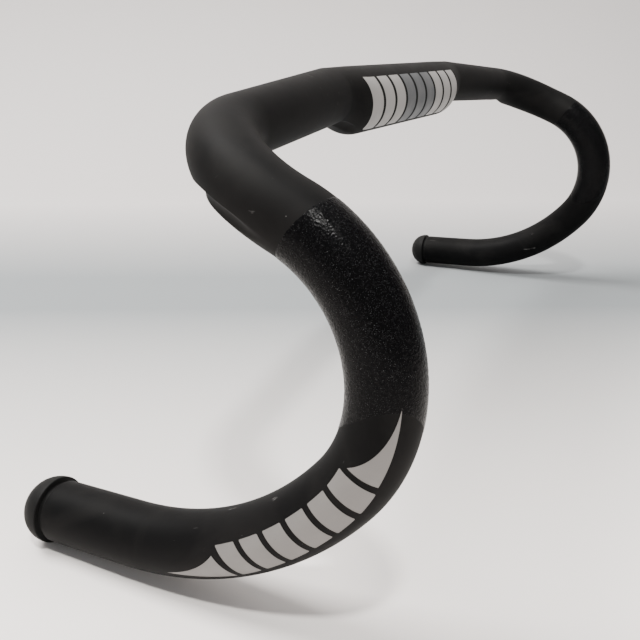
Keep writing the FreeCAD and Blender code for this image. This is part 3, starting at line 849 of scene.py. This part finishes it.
def arc_profile(centre, radius, start, finish, steps):
    """Points of (radius, height) round an arc in the plug's half section."""
    angles = [math.radians(start + (finish - start) * i / steps) for i in range(steps + 1)]
    return [(centre[0] + radius * math.cos(a), centre[1] + radius * math.sin(a)) for a in angles]


def cap_profile():
    """The cap's closed half section, out of the tube along its second value."""
    top = PLUG_NECK_LENGTH + PLUG_CAP_HEIGHT
    shoulder = top - PLUG_CAP_ROUND
    rim_round, mouth_round = 0.45, 0.3
    neck_cut, neck_fillet, spigot_cut = 0.2, 0.2, 0.4
    recess = SCREW_HEAD_RADIUS + SCREW_PLAY
    seat = top - SCREW_HEAD_RECESS - SCREW_HEAD_HEIGHT
    hole = SCREW_RADIUS + SCREW_PLAY
    rim = PLUG_CAP_RADIUS - rim_round
    crown = PLUG_CAP_RADIUS - PLUG_CAP_ROUND
    mouth_turn = math.degrees(math.acos((recess + mouth_round - crown) / PLUG_CAP_ROUND))
    profile = [(PLUG_SPIGOT_RADIUS, PLUG_SEAT_GAP), (PLUG_NECK_RADIUS - neck_cut, PLUG_SEAT_GAP),
               (PLUG_NECK_RADIUS, PLUG_SEAT_GAP + neck_cut)]
    fillet_centre = (PLUG_NECK_RADIUS + neck_fillet, PLUG_NECK_LENGTH - neck_fillet)
    profile += arc_profile(fillet_centre, neck_fillet, 180.0, 90.0, 3)
    profile += arc_profile((rim, PLUG_NECK_LENGTH + rim_round), rim_round, -90.0, 0.0, 5)
    profile += arc_profile((crown, shoulder), PLUG_CAP_ROUND, 0.0, mouth_turn, 26)
    mouth_centre = (recess + mouth_round, profile[-1][1] - mouth_round)
    profile += arc_profile(mouth_centre, mouth_round, 90.0, 180.0, 4)[1:]
    profile += [(recess, seat), (hole, seat), (hole, -PLUG_SPIGOT_LENGTH),
                (PLUG_SPIGOT_RADIUS - spigot_cut, -PLUG_SPIGOT_LENGTH),
                (PLUG_SPIGOT_RADIUS, -PLUG_SPIGOT_LENGTH + spigot_cut)]
    return profile


def make_plug_cap(side, sign):
    around = 120
    turns = [2.0 * math.pi * j / around for j in range(around)]
    origin, heading = line.at(line.end)
    outboard, into_hook = line.drop_axes(line.end)
    rings = []
    for radius, height in cap_profile():
        rings.append([origin + heading * height
                      + (outboard * math.cos(t) + into_hook * math.sin(t)) * radius for t in turns])
    rings = mirrored(np.array(rings), sign)
    cap = new_piece(f"{side}_cap", rings.reshape(-1, 3), ring_faces(len(rings), around), PLASTIC)
    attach(cap, f"{side}_plug")
    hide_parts(f"{side}_plug_cap")


def finish_node(node, material):
    """A CAD node keeps its mesh and shows a better material."""
    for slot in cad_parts[node].material_slots:
        slot.link = "OBJECT"
        slot.material = material


# --------------------------------------------------------------------- studio
# lengths in metres

FLOOR = cad_low.z


def paper(ahead):
    """Matte paper with painted light and shade: a painted warm light close by, a painted cool shade
    across the floor, and neutral up the wall.
    """
    # painted light and shade: the near colour is a painted warm light, the floor colour a painted
    # shade, darker and cooler across the middle of the floor
    near, floor, wall = (0.86, 0.815, 0.785), (0.235, 0.252, 0.260), (0.60, 0.575, 0.565)
    floor_from, floor_at, wall_from, wall_at = -0.22, 0.10, 0.18, 0.50
    material, shader = new_material("pale_paper", wall, 0.75, specular=0.2)
    n = Nodes(material)
    split = n.add("ShaderNodeSeparateXYZ", Vector=n.place)
    along = n.math("ADD", n.math("MULTIPLY", split.outputs["X"], ahead.x),
                   n.math("MULTIPLY", split.outputs["Y"], ahead.y))
    colour = n.mix(n.ramp(along, floor_from, floor_at), near, floor)
    n.into(shader, "Base Color", n.mix(n.ramp(along, wall_from, wall_at), colour, wall))
    return material


def make_sweep(camera_heading):
    """A paper sweep: floor, a wide curve and a wall square to the camera's heading."""
    ahead = Vector((camera_heading.x, camera_heading.y, 0.0)).normalized()
    aside = Vector((-ahead.y, ahead.x, 0.0))
    near, bend_from, bend_radius, top, half_width = -8.0, 0.60, 0.30, 3.0, 9.0
    bend_steps = 24
    profile = [(near, 0.0)]
    for i in range(bend_steps + 1):
        turn = math.radians(90.0 * i / bend_steps)
        profile.append((bend_from + bend_radius * math.sin(turn),
                        bend_radius * (1.0 - math.cos(turn))))
    profile.append((bend_from + bend_radius, top))
    vertices, faces = [], []
    for distance, height in profile:
        for edge in (-half_width, half_width):
            place = ahead * distance + aside * edge
            vertices.append((place.x, place.y, FLOOR + height))
    for i in range(len(profile) - 1):
        faces.append((2 * i, 2 * i + 1, 2 * i + 3, 2 * i + 2))
    mesh = bpy.data.meshes.new("sweep")
    mesh.from_pydata(vertices, [], faces)
    mesh.shade_smooth()
    mesh.materials.append(paper(ahead))
    sweep = add_object("sweep", mesh)


def make_camera():
    """The camera stands close to the right drop and looks across the bar to the left one."""
    place = Vector((0.390995, 0.151960, 0.023382))
    heading = Vector((-0.83665, -0.42557, -0.34483)).normalized()
    rightward = Vector((-0.45141, 0.89230, -0.00597)).normalized()
    upward = rightward.cross(heading)
    data = bpy.data.cameras.new("camera")
    data.sensor_width = 36.0
    data.lens = 40.81
    data.shift_y = -0.00667
    data.clip_start = 0.01
    camera = add_object("camera", data)
    turn = Matrix((rightward, upward, -heading)).transposed()
    camera.matrix_world = Matrix.Translation(place) @ turn.to_4x4()
    bpy.context.scene.camera = camera
    return heading


def area_light(name, place, target, width, height, power, colour):
    data = bpy.data.lights.new(name, "AREA")
    data.shape = "RECTANGLE"
    data.size = width
    data.size_y = height
    data.energy = power
    data.color = colour
    light = add_object(name, data)
    light.location = place
    light.rotation_euler = (Vector(target) - Vector(place)).to_track_quat("-Z", "Y").to_euler()


def make_lights():
    world = bpy.data.worlds.new("room")
    world.use_nodes = True
    background = world.node_tree.nodes["Background"]
    background.inputs["Color"].default_value = (0.86, 0.88, 0.90, 1.0)
    background.inputs["Strength"].default_value = 0.50
    bpy.context.scene.world = world
    area_light("softbox_above", place=(-0.15, -0.10, 1.25), target=(0.0, 0.0, -0.1),
               width=1.3, height=1.0, power=6.0, colour=(1.0, 0.985, 0.96))
    area_light("ceiling_lamp", place=(0.68, 0.36, 1.27), target=(0.22, 0.06, -0.02),
               width=0.14, height=0.09, power=23.0, colour=(1.0, 0.98, 0.95))
    area_light("key_from_the_left", place=(0.30, -0.90, 1.55), target=(0.05, 0.05, -0.05),
               width=0.8, height=0.8, power=76.0, colour=(1.0, 0.975, 0.95))


# ------------------------------------------------------------------- assembly

make_centre_skin()
make_clamp_graphic()
for side, sign in SIDES.items():
    make_drop_skin(side, sign)
    make_grit_band(side, sign)
    make_drop_graphic(side, sign)
    make_plug_cap(side, sign)
    finish_node(f"{side}_joint_sleeve", RAW_CARBON)
    finish_node(f"{side}_plug_expander", RUBBER)
    finish_node(f"{side}_plug_nut", ALUMINIUM)
    finish_node(f"{side}_plug_screw", BLACK_STEEL)

heading = make_camera()
make_sweep(heading)
make_lights()
